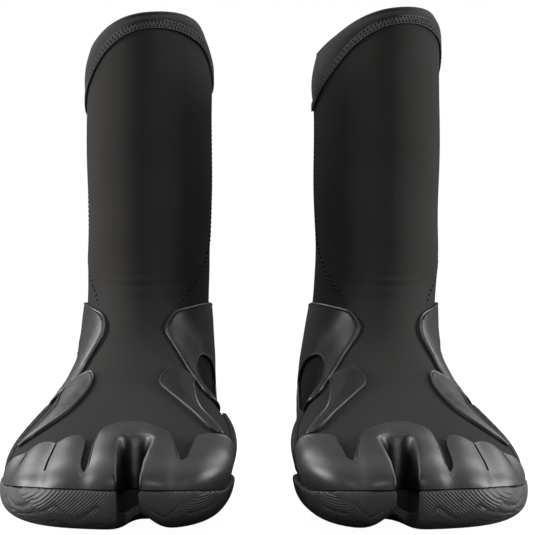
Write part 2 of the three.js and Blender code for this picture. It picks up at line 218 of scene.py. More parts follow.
def outward(mesh):
    """The closed mesh with its faces turned out, from the sign of its volume."""
    mesh.calc_loop_triangles()
    corners = np.empty(len(mesh.loop_triangles) * 3, int)
    mesh.loop_triangles.foreach_get("vertices", corners)
    a, b, c = points_of(mesh)[corners.reshape(-1, 3)].transpose(1, 0, 2)
    if np.einsum("ij,ij->i", a, np.cross(b, c)).sum() < 0:
        mesh.flip_normals()
    return mesh


def points_of(mesh):
    """The mesh's points as an array with one row for each."""
    points = np.empty(len(mesh.vertices) * 3)
    mesh.vertices.foreach_get("co", points)
    return points.reshape(-1, 3)


def last_body(reach, under=None, shares=(0, 1), rows=170, columns=168):
    """The last as a closed body, grown by reach; reach may be a function of the points."""
    share = np.linspace(*shares, rows)[:, None]
    angle = even_angles(columns)[None, :]
    if callable(reach):
        reach = reach(last_points(share, angle))
    return closed_rings(last_points(share, angle, reach, under))


def box_body(low, high):
    """A closed box between two opposite corners."""
    corners = np.array([[x, y, z] for z in (low[2], high[2]) for y in (low[1], high[1])
                        for x in (low[0], high[0])])
    faces = [(0, 2, 3, 1), (4, 5, 7, 6), (0, 1, 5, 4), (2, 6, 7, 3), (0, 4, 6, 2), (1, 3, 7, 5)]
    return outward(mesh_from(corners, faces))


def prism(outline, direction, start, end):
    """A closed prism: the outline is in the side plane (along, up) when direction is 0, and in plan
    (across, along) when it is 2; it is carried along that axis from start to end."""
    rings = np.empty((2, len(outline), 3))
    flat = [axis for axis in range(3) if axis != direction]
    rings[..., flat] = outline
    rings[0, :, direction] = start
    rings[1, :, direction] = end
    count = len(outline)
    caps = [list(range(count))[::-1], list(range(count, 2 * count))]
    return outward(mesh_from(rings, grid_faces(2, count) + caps))


def worked(mesh, *steps):
    """The mesh after modifiers, each a type and its settings, are applied in order."""
    scene = bpy.context.scene
    worker = bpy.data.objects.new("worker", mesh)
    helpers = []
    for kind, settings in steps:
        modifier = worker.modifiers.new(kind, kind)
        for key, value in settings.items():
            if isinstance(value, bpy.types.Mesh):
                value = bpy.data.objects.new("helper", value)
                helpers.append(value)
            setattr(modifier, key, value)
    for maker in [worker, *helpers]:
        scene.collection.objects.link(maker)
    result = bpy.data.meshes.new_from_object(worker.evaluated_get(bpy.context.evaluated_depsgraph_get()))
    for maker in [worker, *helpers]:
        bpy.data.objects.remove(maker)
    return result


def carved(mesh, operation, *tools):
    """The closed mesh cut by, joined to or crossed with other closed meshes."""
    return worked(mesh, *[("BOOLEAN", {"operation": operation, "solver": "MANIFOLD", "object": tool})
                          for tool in tools])


def rounded(mesh, voxel, passes):
    """The mesh as an even skin of small squares, its edges eased by that many smoothing passes."""
    return worked(mesh, ("REMESH", {"mode": "VOXEL", "voxel_size": voxel}),
                  ("SMOOTH", {"factor": 0.5, "iterations": passes}))


def cleft_body(extra=0.0):
    """The slot between the big toe and the others: straight walls that flare above the toes, and a
    half-round end."""
    up = np.array([-20, 10, 20, 28, 32, 36, 40, 44, 52, 60, 75, 90]) * MM
    flare = np.interp(up, np.array([28, 36, 44, 90]) * MM, np.array([0, 1, 3, 6]) * MM)
    radius = (CLEFT_WIDTH / 2 + extra + flare)[:, None]
    angle = np.linspace(0, np.pi, 15)[None, :]
    end = -FOOT_LENGTH / 2 + CLEFT_DEPTH - CLEFT_WIDTH / 2
    round_end = np.stack(np.broadcast_arrays(
        CLEFT_ACROSS + radius * np.cos(angle), end + radius * np.sin(angle), up[:, None]), -1)
    mouth = round_end[:, [-1, 0]].copy()
    mouth[..., 1] = -2 * FOOT_LENGTH
    return closed_rings(np.concatenate([round_end, mouth], 1))


# The outsole's upper edge, along and up in millimetres, seen from the side.
SOLE_EDGE = np.array([
    [-158, 25.5], [-138, 24.5], [-108, 22.5], [-58, 21.5], [0, 20], [98, 20], [138, 30], [158, 36],
]) * MM


def below_sole_edge(offset):
    """Everything below the outsole's upper edge, raised by offset."""
    edge = along_rows(SOLE_EDGE, np.linspace(0, 1, 90))
    floor = np.array([[edge[-1, 0], FAR_UNDER], [edge[0, 0], FAR_UNDER]])
    return prism(np.vstack([edge + [0, offset], floor]), 0, -FAR_OUT, FAR_OUT)


def seam_along(up):
    """Where the side seam between front and rear lies along the boot, at a height."""
    return (32 + 48 * smoothstep(up, 85 * MM, 135 * MM)) * MM


def rear_block():
    """Everything behind the side seams, from under the sole to over the rim."""
    low, high, back = -0.05, 0.35, 0.3
    up = np.linspace(low, high, 60)
    seam = np.stack([seam_along(up), up], -1)
    return prism(np.vstack([seam, [[back, high], [back, low]]]), 0, -FAR_OUT, FAR_OUT)


# Heights of the collar's rim and of its seam, every eighth of a turn from the front towards +X.
RIM_STEPS = np.array([0, -1, -14, -21, -17, -16, -17, -12])[:, None] * MM
SEAM_STEPS = np.array([-6.5, -11, -26, -35, -41, -44, -44, -30])[:, None] * MM
SIDES = {
    "right": {"mirror": 1, "lean": 0.0, "rise": 0.0},
    "left": {"mirror": -1, "lean": 6 * MM, "rise": 2.5 * MM},
}


def level_at(steps, bearing, side):
    """Height of the rim or the seam at a bearing, in turns from the front towards the inner side:
    a Catmull-Rom curve through the eight steps, closed on itself."""
    looped = np.vstack([steps[-1:], steps, steps[:2]])
    place = (bearing * SIDES[side]["mirror"] + 1) % 1 * len(steps)
    level = along_rows(looped, (place + 1) / (len(looped) - 1))[..., 0]
    return RIM_HEIGHT + SIDES[side]["rise"] + level


def below_level(steps, offset, side):
    """Everything below the wavy level of the rim or the seam: a round block whose top is flat along
    each spoke, from outside the shaft to near its middle."""
    count = 120
    bearing = np.arange(count) / count
    angle = 2 * np.pi * bearing
    height = level_at(steps, bearing, side) + offset
    radii = [0.3, 0.3, 0.064, 0.02]
    levels = [np.full(count, FAR_UNDER), height, height, height]
    rings = [np.stack([radius * np.sin(angle), SHAFT_MIDDLE - radius * np.cos(angle), level], -1)
             for radius, level in zip(radii, levels)]
    return closed_rings(np.array(rings))


WAVE_HEIGHT = 0.28 * MM
# Height over the floor in metres and depth in millimetres of each crease.
ANKLE_CREASES = ((0.101, 0.35), (0.1065, 0.6), (0.112, 0.4))
CREASE_WIDTH = 1.4 * MM


def soft_swell(points):
    """Slow waves of a few tenths of a millimetre, as on foam cloth that has been worn and packed,
    with three shallow creases across the front of the ankle."""
    x, y, z = points[..., 0], points[..., 1], points[..., 2]
    shaft = smoothstep(z, 0.1, 0.14)
    waves = (np.sin(61 * z + 23 * y) + np.sin(97 * z - 71 * x + 1.3)
             + np.sin(43 * y + 88 * x + 0.6)) * WAVE_HEIGHT
    front = smoothstep(SHAFT_MIDDLE - y, 0.02, 0.045)
    crease = np.zeros_like(z)
    for height, depth in ANKLE_CREASES:
        bend = height + 0.25 * x ** 2 / 0.03 + 0.0006 * np.sin(160 * x + height * 900)
        crease = crease + depth * MM * np.exp(-((z - bend) / CREASE_WIDTH) ** 2)
    return waves * shaft - crease * front


# Each boot stands where its ankle hinge is in the frame; HINGE_ALONG is the hinge's place along the
# boot. TOE_LINE_SLANT is how far the toes fall back at half a forefoot's width out from the slot.
HINGE_ALONG = 75 * MM
TOE_LINE_SLANT = 16 * MM
hinges = {side: next(joint for joint in frame["joints"] if joint["name"] == f"{side}_ankle_bend")
          for side in SIDES}


def place_in_pair(points, side):
    """From the right boot's frame to the pair. The toe line falls back towards the little toe, the
    left shaft leans a little, and each boot turns and stands where its ankle hinge says."""
    hinge = hinges[side]
    mirror, lean = SIDES[side]["mirror"], SIDES[side]["lean"]
    x = points[:, 0] - lean * smoothstep(points[:, 2], 0.05, 0.13)
    outward_share = np.maximum(0, CLEFT_ACROSS - CLEFT_WIDTH / 2 - x) / (FOREFOOT_WIDTH / 2)
    in_front = smoothstep(-points[:, 1], 20 * MM, FOOT_LENGTH / 2)
    y = points[:, 1] + TOE_LINE_SLANT * in_front * outward_share ** 1.3
    axis_x, axis_y = hinge["axis"][:2]
    behind = y - HINGE_ALONG
    return np.stack([
        hinge["pos_m"][0] + mirror * axis_x * x - axis_y * behind,
        hinge["pos_m"][1] + mirror * axis_y * x + axis_x * behind,
        points[:, 2],
    ], -1)


def mark_sharp_edges(mesh, limit=0.7):
    """Smooth shading, except over edges where the faces turn by more than limit radians."""
    mesh.shade_smooth()
    normals = np.empty(len(mesh.polygons) * 3)
    mesh.polygons.foreach_get("normal", normals)
    counts = np.empty(len(mesh.polygons), int)
    mesh.polygons.foreach_get("loop_total", counts)
    edges = np.empty(len(mesh.loops), int)
    mesh.loops.foreach_get("edge_index", edges)
    owner = np.repeat(np.arange(len(counts)), counts)
    order = np.argsort(edges, kind="stable")
    edges, owner = edges[order], owner[order]
    pair = np.flatnonzero(edges[1:] == edges[:-1])
    normals = normals.reshape(-1, 3)
    bend = np.einsum("ij,ij->i", normals[owner[pair]], normals[owner[pair + 1]])
    sharp = np.zeros(len(mesh.edges), bool)
    sharp[edges[pair]] = bend < np.cos(limit)
    layer = mesh.attributes.get("sharp_edge") or mesh.attributes.new("sharp_edge", "BOOLEAN", "EDGE")
    layer.data.foreach_set("value", sharp)


# The toes hang a little lower than the last's own toe spring, from the ball of the foot forwards.
TOE_DROP = 3 * MM
DROP_FROM = (50 * MM, 118 * MM)


def make_piece(name, shape, side, material):
    """The right boot's shape, put in its place in the pair as a finished piece. Its boot_place
    attribute keeps each point's place in the boot's own frame, in millimetres, for the materials."""
    mesh = shape.copy()
    mesh.name = f"{side}_{name}"
    points = points_of(mesh)
    layer = mesh.attributes.new("boot_place", "FLOAT_VECTOR", "POINT")
    layer.data.foreach_set("vector", (points / MM).ravel())
    points[:, 2] -= TOE_DROP * smoothstep(-points[:, 1], *DROP_FROM)
    points[:, 2] = np.maximum(points[:, 2], 0)
    mesh.vertices.foreach_set("co", place_in_pair(points, side).ravel())
    if SIDES[side]["mirror"] < 0:
        mesh.flip_normals()
    mesh.update()
    mark_sharp_edges(mesh)
    mesh.materials.clear()
    mesh.materials.append(material)
    piece = bpy.data.objects.new(f"{side}_{name}", mesh)
    bpy.context.scene.collection.objects.link(piece)
    return piece


class Nodes:
    """A short way to write a node tree: add a node, set its inputs by value or by another socket."""

    def __init__(self, tree):
        self.tree = tree

    def add(self, kind, output=0, settings=None, **inputs):
        """A node of a kind; an input's name has _ for a space, and _0 stands for input number 0."""
        node = self.tree.nodes.new(kind)
        for key, value in (settings or {}).items():
            setattr(node, key, value)
        for key, value in inputs.items():
            socket = node.inputs[int(key[1:])] if key[1:].isdigit() else node.inputs[key.replace("_", " ")]
            if isinstance(value, bpy.types.NodeSocket):
                self.tree.links.new(value, socket)
            else:
                socket.default_value = value
        return node.outputs[output]

    def math(self, operation, first, second=0.0, third=0.0):
        return self.add("ShaderNodeMath", settings={"operation": operation}, _0=first, _1=second, _2=third)

    def mix(self, share, first, second):
        return self.add("ShaderNodeMix", 2, {"data_type": "RGBA"}, _0=share, _6=first, _7=second)

    def noise(self, place, scale, detail=2.0, rough=0.5):
        return self.add("ShaderNodeTexNoise", Vector=place, Scale=scale, Detail=detail, Roughness=rough)

    def place(self):
        """Each point's place in the boot's own frame, in millimetres."""
        return self.add("ShaderNodeAttribute", 1, {"attribute_name": "boot_place"})

    def parts(self, place):
        """The sockets X, Y and Z of a place."""
        return self.add("ShaderNodeSeparateXYZ", Vector=place).node.outputs


def effect(name, inputs, outputs):
    """An empty node group with named inputs (name, type, value) and outputs (name, type)."""
    tree = bpy.data.node_groups.new(name, "ShaderNodeTree")
    for label, kind, value in inputs:
        tree.interface.new_socket(label, in_out="INPUT", socket_type=kind).default_value = value
    for label, kind in outputs:
        tree.interface.new_socket(label, in_out="OUTPUT", socket_type=kind)
    return tree, tree.nodes.new("NodeGroupInput").outputs, tree.nodes.new("NodeGroupOutput").inputs


def new_material(name, rough, **shader):
    """A material with one Principled shader; returns it, its node writer and the shader's inputs."""
    material = bpy.data.materials.new(name)
    material.use_nodes = True
    nodes = Nodes(material.node_tree)
    inputs = material.node_tree.nodes["Principled BSDF"].inputs
    inputs["Roughness"].default_value = rough
    for label, value in shader.items():
        inputs[label.replace("_", " ")].default_value = value
    return material, nodes, inputs


def jersey_effect():
    """Fine knitted jersey: rows of small loops, lint specks and slow colour drift. Its height is for
    a Bump node. Place is in millimetres."""
    tree, given, out = effect(
        "fine_jersey",
        [("Place", "NodeSocketVector", (0, 0, 0)), ("Cloth", "NodeSocketColor", (0.01, 0.01, 0.01, 1)),
         ("Lint", "NodeSocketColor", (0.05, 0.05, 0.05, 1)), ("Loops per mm", "NodeSocketFloat", 1.5)],
        [("Color", "NodeSocketColor"), ("Height", "NodeSocketFloat")])
    nodes = Nodes(tree)
    place = given["Place"]
    loops = nodes.add("ShaderNodeTexVoronoi", 0, {"feature": "F1"}, Vector=place, Scale=given["Loops per mm"])
    fibre = nodes.noise(place, 6.0, 3.0, 0.7)
    fleck = nodes.noise(place, 2.6, 1.0, 0.6)
    speck = nodes.math("GREATER_THAN", fleck, 0.69)
    drift = nodes.noise(place, 0.03, 2.0, 0.5)
    light = nodes.math("MULTIPLY_ADD", fibre, 0.55, nodes.math("MULTIPLY", drift, 0.5))
    share = nodes.math("MULTIPLY", nodes.math("SUBTRACT", light, 0.3), 0.75)
    share = nodes.math("ADD", share, nodes.math("MULTIPLY", speck, 0.45))
    tree.links.new(nodes.mix(share, given["Cloth"], given["Lint"]), out["Color"])
    height = nodes.math("MULTIPLY_ADD", fibre, 0.6, nodes.math("MULTIPLY", loops, -0.8))
    tree.links.new(height, out["Height"])
    return tree


JERSEY = jersey_effect()


def cloth_material(name, cloth, lint, loops, rough, sheen, depth):
    """Jersey-faced neoprene: two cloth colours, loops to the millimetre, sheen and knit depth."""
    material, nodes, inputs = new_material(name, rough, Sheen_Weight=sheen, Sheen_Roughness=0.45,
                                           Specular_IOR_Level=0.09)
    place = nodes.place()
    group = nodes.add("ShaderNodeGroup", 0, {"node_tree": JERSEY}, Place=place, Cloth=cloth, Lint=lint,
                      Loops_per_mm=loops).node
    nodes.tree.links.new(group.outputs["Color"], inputs["Base Color"])
    bump = nodes.add("ShaderNodeBump", Strength=0.6, Distance=depth, Height=group.outputs["Height"])
    nodes.tree.links.new(bump, inputs["Normal"])
    return material


neoprene_cloth = cloth_material("neoprene_jersey", (0.026, 0.0248, 0.0238, 1), (0.056, 0.054, 0.052, 1), 1.7,
                                0.82, 0.015, 0.12 * MM)

# The slot in the neoprene is wider than the slot in the rubber by the thickness of the skin. The
# sole's seam lies under the outsole's edge, and its two sides are a hair apart.
SOLE_SEAM = 10 * MM
SEAM_GAP = 0.1 * MM
hollow = carved(last_body(-NEOPRENE, rows=120, columns=96), "DIFFERENCE", cleft_body(SKIN + NEOPRENE))
sock = carved(last_body(soft_swell, rows=300, columns=176), "DIFFERENCE", cleft_body(SKIN), hollow)
sole_part = carved(sock, "INTERSECT", below_sole_edge(-SOLE_SEAM))
upper_part = carved(sock, "DIFFERENCE", below_sole_edge(SEAM_GAP - SOLE_SEAM))

for side in SIDES:
    foot, shaft = f"{side}_foot", f"{side}_shaft"
    trimmed = carved(upper_part, "INTERSECT", below_level(SEAM_STEPS, 0, side))
    front_part = carved(trimmed, "DIFFERENCE", rear_block())
    rear_part = carved(trimmed, "INTERSECT", rear_block())
    front = make_piece("front_neoprene", front_part, side, neoprene_cloth)
    rear = make_piece("rear_neoprene", rear_part, side, neoprene_cloth)
    sole = make_piece("sole_neoprene", sole_part, side, neoprene_cloth)
    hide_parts(f"{side}_toe_panel", f"{side}_instep_panel", f"{side}_ankle_ring",
                f"{side}_shaft_front")
    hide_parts(f"{side}_heel_panel", f"{side}_shaft_back")
    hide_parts(f"{side}_sole_panel")
    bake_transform(front)
    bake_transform(rear)
    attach(sole, foot)

# ---------------------------------------------------------------------------------------------
# Collar. A soft cuff of thinner, smoother cloth-faced neoprene, higher at the front than at the
# sides and back. It is sewn on along a wavy seam, and its rim is turned and rolled.
COLLAR_THICKNESS = 3.2 * MM
COLLAR_OVERLAP = 0.7 * MM
COLLAR_LEAN = 1.4 * MM
COLLAR_BULGE = 0.9 * MM
COLLAR_WAVE = 0.3 * MM
COLUMNS_ROUND = 240


def at_height(height, angle, reach=0.0):
    """The shaft's surface point at a height and an angle, found by halving the last's share."""
    low = np.full(np.broadcast(height, angle).shape, 0.55)
    high = np.full(low.shape, 1.0)
    for _ in range(22):
        middle = (low + high) / 2
        below = last_points(middle, angle)[..., 2] < height
        low = np.where(below, middle, low)
        high = np.where(below, high, middle)
    return last_points(low, angle, reach)


def bearing_of(angle):
    """Turns from the front towards the inner side, for an angle of the last's top section."""
    top = last_points(0.95, angle)
    return np.arctan2(top[..., 0], SHAFT_MIDDLE - top[..., 1]) / (2 * np.pi)


def collar_shape(side):
    """A closed band: up the outside with a slight bulge and wave, leaning in towards the top, over a
    half-round rim, down the inside and under the seam. Rows go round this profile and columns round
    the leg."""
    angle = np.linspace(0, 2 * np.pi, COLUMNS_ROUND, endpoint=False)[None, :]
    bearing = bearing_of(angle)
    seam = level_at(SEAM_STEPS, bearing, side)
    rim = level_at(RIM_STEPS, bearing, side) - COLLAR_THICKNESS / 2
    climb = np.linspace(0, 1, 22)[:, None]
    lean = -COLLAR_LEAN * climb ** 2
    bulge = COLLAR_BULGE * np.sin(np.pi * climb)
    wave = COLLAR_WAVE * np.sin(4 * angle + 5 * climb)
    outside = COLLAR_OVERLAP + lean + bulge + wave
    roll = np.linspace(0, np.pi, 11)[1:-1, None]
    half = COLLAR_THICKNESS / 2
    centre = COLLAR_OVERLAP - half + lean[-1]
    heights = [seam + climb * (rim - seam), rim + half * np.sin(roll), seam + climb[::-1] * (rim - seam)]
    reaches = [outside, centre + half * np.cos(roll), COLLAR_OVERLAP - COLLAR_THICKNESS + lean[::-1]]
    height = np.vstack([np.broadcast_to(h, (len(h), COLUMNS_ROUND)) for h in heights])
    reach = np.vstack([np.broadcast_to(r, (len(r), COLUMNS_ROUND)) for r in reaches])
    return closed_band(at_height(height, angle, reach))


collar_cloth = cloth_material("collar_jersey", (0.024, 0.0222, 0.0255, 1), (0.043, 0.041, 0.046, 1), 2.4,
                              0.75, 0.1, 0.06 * MM)
for side in SIDES:
    collar = make_piece("collar_band", collar_shape(side), side, collar_cloth)
    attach(collar, f"{side}_shaft")
    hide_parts(f"{side}_collar")

# ---------------------------------------------------------------------------------------------
# Seam stitching. Grey overlock thread zigzags over the collar's seam between two straight chain
# threads, on a narrow tape. Black flatlock thread closes the shaft's two side seams.
STITCH_HALF = 1.8 * MM
STITCH_PITCH = 2.4 * MM
THREAD = 0.36 * MM
THREAD_HEIGHT = 1.25 * MM
TAPE_COLUMNS = 480
POINTS_PER_WAVE = 8
SHAFT_ROUND = 272 * MM
SIDE_SEAM = (98 * MM, 196 * MM)
SIDE_SEAM_WAVES = 42


def unit(vectors):
    """The vectors at length one."""
    return vectors / np.linalg.norm(vectors, axis=-1, keepdims=True)


def tube(path, out, radius, sides=6, closed=True):
    """A round section carried along a path, turned so that its first spoke keeps facing outwards."""
    if closed:
        tangent = unit(np.roll(path, -1, 0) - np.roll(path, 1, 0))
    else:
        tangent = unit(np.gradient(path, axis=0))
    across = unit(np.cross(tangent, out))
    out = unit(np.cross(across, tangent))
    turn = (np.arange(sides) * 2 * np.pi / sides)[None, :, None]
    radius = np.broadcast_to(radius, len(path))[:, None, None]
    rings = path[:, None] + radius * (np.cos(turn) * out[:, None] + np.sin(turn) * across[:, None])
    if not closed:
        return closed_rings(rings)
    return closed_band(rings)


def joined(*meshes):
    """Several closed meshes as one mesh."""
    builder = bmesh.new()
    for mesh in meshes:
        builder.from_mesh(mesh)
    result = bpy.data.meshes.new("joined")
    builder.to_mesh(result)
    builder.free()
    return result


def on_last(drawn, axes, allowed):
    """Share and angle of the points of the last that are seen at drawn places when it is looked at
    along the third axis: the nearest point of a coarse grid, then a few Newton steps."""
    grid = np.meshgrid(np.linspace(0.004, 0.996, 320), even_angles(200), indexing="ij")
    share, angle = (part.ravel() for part in grid)
    points = last_points(share, angle)
    keep = allowed(points)
    share, angle, points = share[keep], angle[keep], points[keep][:, axes]
    nearest = ((drawn[:, None] - points[None]) ** 2).sum(-1).argmin(1)
    share, angle = share[nearest], angle[nearest]
    step = 1e-4
    for _ in range(8):
        here = last_points(share, angle)[:, axes]
        by_share = (last_points(share + step, angle)[:, axes] - here) / step
        by_angle = (last_points(share, angle + step)[:, axes] - here) / step
        miss = drawn - here
        area = by_share[:, 0] * by_angle[:, 1] - by_share[:, 1] * by_angle[:, 0]
        area = np.where(np.abs(area) < 1e-7, 1e-7, area)
        share_step = (miss[:, 0] * by_angle[:, 1] - miss[:, 1] * by_angle[:, 0]) / area
        angle_step = (by_share[:, 0] * miss[:, 1] - by_share[:, 1] * miss[:, 0]) / area
        share = np.clip(share + np.clip(share_step, -0.01, 0.01), 0.002, 0.998)
        angle = angle + np.clip(angle_step, -0.06, 0.06)
    return share, angle


def zigzag(count):
    """A triangle wave between -1 and 1 over count points."""
    share = np.arange(count) / POINTS_PER_WAVE
    return 2 * np.abs(2 * (share - np.floor(share + 0.5))) - 1


def collar_thread(side):
    """Zigzag and chain threads laid on the shaft's surface along the collar's seam."""
    count = int(round(SHAFT_ROUND / STITCH_PITCH)) * POINTS_PER_WAVE
    angle = np.arange(count) * 2 * np.pi / count
    seam = level_at(SEAM_STEPS, bearing_of(angle), side)
    threads = []
    for offset, radius in ((STITCH_HALF * zigzag(count), THREAD), (STITCH_HALF, 0.8 * THREAD),
                           (-STITCH_HALF, 0.8 * THREAD)):
        path = at_height(seam + offset, angle, THREAD_HEIGHT)
        out = path - at_height(seam + offset, angle, 0.0)
        threads.append(tube(path, out, radius))
    return joined(*threads)


def seam_tape(side):
    """The flat tape under the threads: a closed band with rounded edges."""
    angle = np.linspace(0, 2 * np.pi, TAPE_COLUMNS, endpoint=False)
    seam = level_at(SEAM_STEPS, bearing_of(angle), side)
    turn = np.linspace(0, 2 * np.pi, 12, endpoint=False)[:, None]
    height = seam[None, :] + STITCH_HALF * 1.05 * np.cos(turn)
    reach = 0.5 * MM + 0.6 * MM * np.sign(np.sin(turn)) * np.abs(np.sin(turn)) ** 0.5 + 0 * angle
    return closed_band(at_height(height, angle[None, :], reach))


def on_side(facing):
    """A test for points of the last on its inner or outer side."""
    return lambda points: points[..., 0] * facing > 0


def side_seam_thread():
    """Flatlock zigzag up both side seams, from over the ankle cages to under the collar's seam."""
    up = np.linspace(*SIDE_SEAM, POINTS_PER_WAVE * SIDE_SEAM_WAVES)
    threads = []
    for facing in (INNER, OUTER):
        along = seam_along(up) + 1.5 * MM * zigzag(len(up))
        share, angle = on_last(np.stack([along, up], -1), (1, 2), on_side(facing))
        path = last_points(share, angle, 0.15 * MM)
        out = path - last_points(share, angle, -1 * MM)
        threads.append(tube(path, out, 0.3 * MM, closed=False))
    return joined(*threads)


def thread_material(name, thread, light):
    """Twisted polyester thread: fine ridges across, with lighter worn spots."""
    material, nodes, inputs = new_material(name, 0.7, Specular_IOR_Level=0.3)
    place = nodes.place()
    twist = nodes.noise(place, 3.5, 2.0, 0.6)
    nodes.tree.links.new(nodes.mix(twist, thread, light), inputs["Base Color"])
    bump = nodes.add("ShaderNodeBump", Strength=0.5, Distance=0.1 * MM, Height=twist)
    nodes.tree.links.new(bump, inputs["Normal"])
    return material


grey_thread = thread_material("grey_overlock_thread", (0.03, 0.03, 0.031, 1), (0.14, 0.14, 0.142, 1))
black_thread = thread_material("black_flatlock_thread", (0.006, 0.006, 0.006, 1), (0.02, 0.02, 0.02, 1))
flatlock = side_seam_thread()
for side in SIDES:
    stitching = make_piece("collar_stitches", collar_thread(side), side, grey_thread)
    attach(stitching, f"{side}_shaft")
    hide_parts(f"{side}_collar_stitching")
    tape = make_piece("collar_tape", seam_tape(side), side, black_thread)
    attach(tape, f"{side}_shaft")
    seams = make_piece("side_seam_stitches", flatlock, side, black_thread)
    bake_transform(seams)

# ---------------------------------------------------------------------------------------------
# Outsole. A moulded rubber cup around the foot, flat under the heel and the ball, rising at the
# toes, with a notch between the toe lobes. Zigzag grooves, arcs and fine ribs are moulded in.
SOLE_WALL = 3.4 * MM
NOTCH_DEPTH = 24 * MM
GROOVE_DEPTH = 0.7 * MM
GROOVE_WIDTH = 0.75 * MM
GROOVE_SPACING = 11 * MM
ZIGZAG_LENGTH = 19 * MM
ZIGZAG_RISE = 4.5 * MM
ARC_CENTRE = (-60 * MM, 170 * MM)
ARC_SPACING = 4.2 * MM
ARC_WIDTH = 0.7 * MM
# A groove runs under the slot: where it lies across, half its width, and how high it lifts the sole.
LOBE_ACROSS = 16.5 * MM
LOBE_GAP = 7 * MM
LOBE_RISE = 7 * MM


def near_line(value, spacing, width):
    """1 on the lines at every spacing of value, falling to 0 over width."""
    off = np.abs((value / spacing + 0.5) % 1 - 0.5) * spacing
    return np.exp(-(off / width) ** 2)


def tread_depth(points):
    """How deep the tread is moulded. The sole is unrolled as across (x) and round the toe (up minus
    along): zigzag grooves run across it, arcs circle the outer toes, and a plain rim is left."""
    x, y, z = points.T
    unrolled = z - y
    wave = ZIGZAG_RISE * (2 * np.abs(2 * ((x / ZIGZAG_LENGTH) % 1 - 0.5)) - 1)
    zigzag_lines = near_line(unrolled - wave, GROOVE_SPACING, GROOVE_WIDTH)
    from_toes = np.hypot(x - ARC_CENTRE[0], (unrolled - ARC_CENTRE[1]) * 1.1)
    arcs = near_line(from_toes, ARC_SPACING, ARC_WIDTH)
    outer_toes = smoothstep(-x, 26 * MM, 30 * MM) * smoothstep(unrolled, 90 * MM, 100 * MM)
    lines = zigzag_lines * (1 - outer_toes) + arcs * outer_toes
    # Near enough to the edge's height here: the rows of its table are taken as evenly spaced.
    along = (y - SOLE_EDGE[0, 0]) / (SOLE_EDGE[-1, 0] - SOLE_EDGE[0, 0])
    edge = along_rows(SOLE_EDGE, np.clip(along, 0, 1))[:, 1]
    below_rim = 1 - smoothstep(z, edge - 6.5 * MM, edge - 4.5 * MM)
    in_front = smoothstep(-y, 112 * MM, 118 * MM)
    side_wall = smoothstep(z, 3.5 * MM, 5 * MM) * (1 - in_front)
    notch = np.exp(-((x - CLEFT_ACROSS) / (8 * MM)) ** 4) * in_front
    return GROOVE_DEPTH * lines * below_rim * (1 - side_wall) * (1 - notch)


def outsole_shape():
    """The cup: the last grown by its wall, cut at the floor and at its upper edge, hollowed for the
    sock and notched between the toes. The tread is sunk into its outer face, and its underside is
    lifted under the slot."""
    blank = last_body(SOLE_WALL, SOLE_THICKNESS + 1 * MM, rows=260, columns=220)
    front_block = box_body((-0.1, -1, FAR_UNDER), (0.1, NOTCH_DEPTH - FOOT_LENGTH / 2, 0.3))
    notch = carved(cleft_body(), "INTERSECT", front_block)
    above_floor = box_body((-0.3, -0.3, 0), (0.3, 0.3, 0.2))
    cup = carved(blank, "INTERSECT", above_floor, below_sole_edge(0))
    cup = rounded(carved(cup, "DIFFERENCE", last_body(GLUE_LINE), notch), 1.0 * MM, 5)
    points = points_of(cup)
    normals = np.empty(points.size)
    cup.vertices.foreach_get("normal", normals)
    normals = normals.reshape(-1, 3)
    middle_along = np.clip(points[:, 1], -90 * MM, 100 * MM)
    inside = np.stack([0.5 * points[:, 0], middle_along, np.full(len(points), 22 * MM)], -1)
    outer = smoothstep(np.einsum("ij,ij->i", unit(points - inside), normals), 0.05, 0.3)
    points = points - normals * (tread_depth(points) * outer)[:, None]
    points[:, 2] = np.maximum(points[:, 2], 0)
    under_slot = np.exp(-((points[:, 0] - LOBE_ACROSS) / LOBE_GAP) ** 2)
    under_slot = under_slot * smoothstep(-points[:, 1], 45 * MM, 105 * MM)
    points[:, 2] += LOBE_RISE * under_slot * (1 - smoothstep(points[:, 2], 4 * MM, 24 * MM))
    cup.vertices.foreach_set("co", points.ravel())
    cup.update()
    return cup


def rubber_effect():
    """Moulded rubber: fine grain, a slow bloom of lighter and darker areas, and faint scuffs. Place
    is in millimetres."""
    tree, given, out = effect(
        "moulded_rubber",
        [("Place", "NodeSocketVector", (0, 0, 0)), ("Rubber", "NodeSocketColor", (0.04, 0.04, 0.04, 1)),
         ("Bloom", "NodeSocketColor", (0.06, 0.06, 0.06, 1)), ("Rough", "NodeSocketFloat", 0.45)],
        [("Color", "NodeSocketColor"), ("Roughness", "NodeSocketFloat"), ("Height", "NodeSocketFloat")])
    nodes = Nodes(tree)
    place = given["Place"]
    bloom = nodes.noise(place, 0.07, 4.0, 0.6)
    grain = nodes.noise(place, 5.0, 3.0, 0.7)
    stretched = nodes.add("ShaderNodeMapping", Vector=place, Scale=(0.35, 0.9, 2.2))
    scuff = nodes.math("GREATER_THAN", nodes.noise(stretched, 1.2, 3.0, 0.6), 0.66)
    share = nodes.math("ADD", nodes.math("MULTIPLY", bloom, 0.6), nodes.math("MULTIPLY", grain, 0.4))
    share = nodes.math("MULTIPLY_ADD", scuff, 0.15, share)
    tree.links.new(nodes.mix(share, given["Rubber"], given["Bloom"]), out["Color"])
    rough = nodes.math("MULTIPLY_ADD", nodes.math("SUBTRACT", bloom, 0.5), 0.25, given["Rough"])
    tree.links.new(nodes.math("MULTIPLY_ADD", scuff, 0.08, rough), out["Roughness"])
    tree.links.new(grain, out["Height"])
    return tree


RUBBER = rubber_effect()


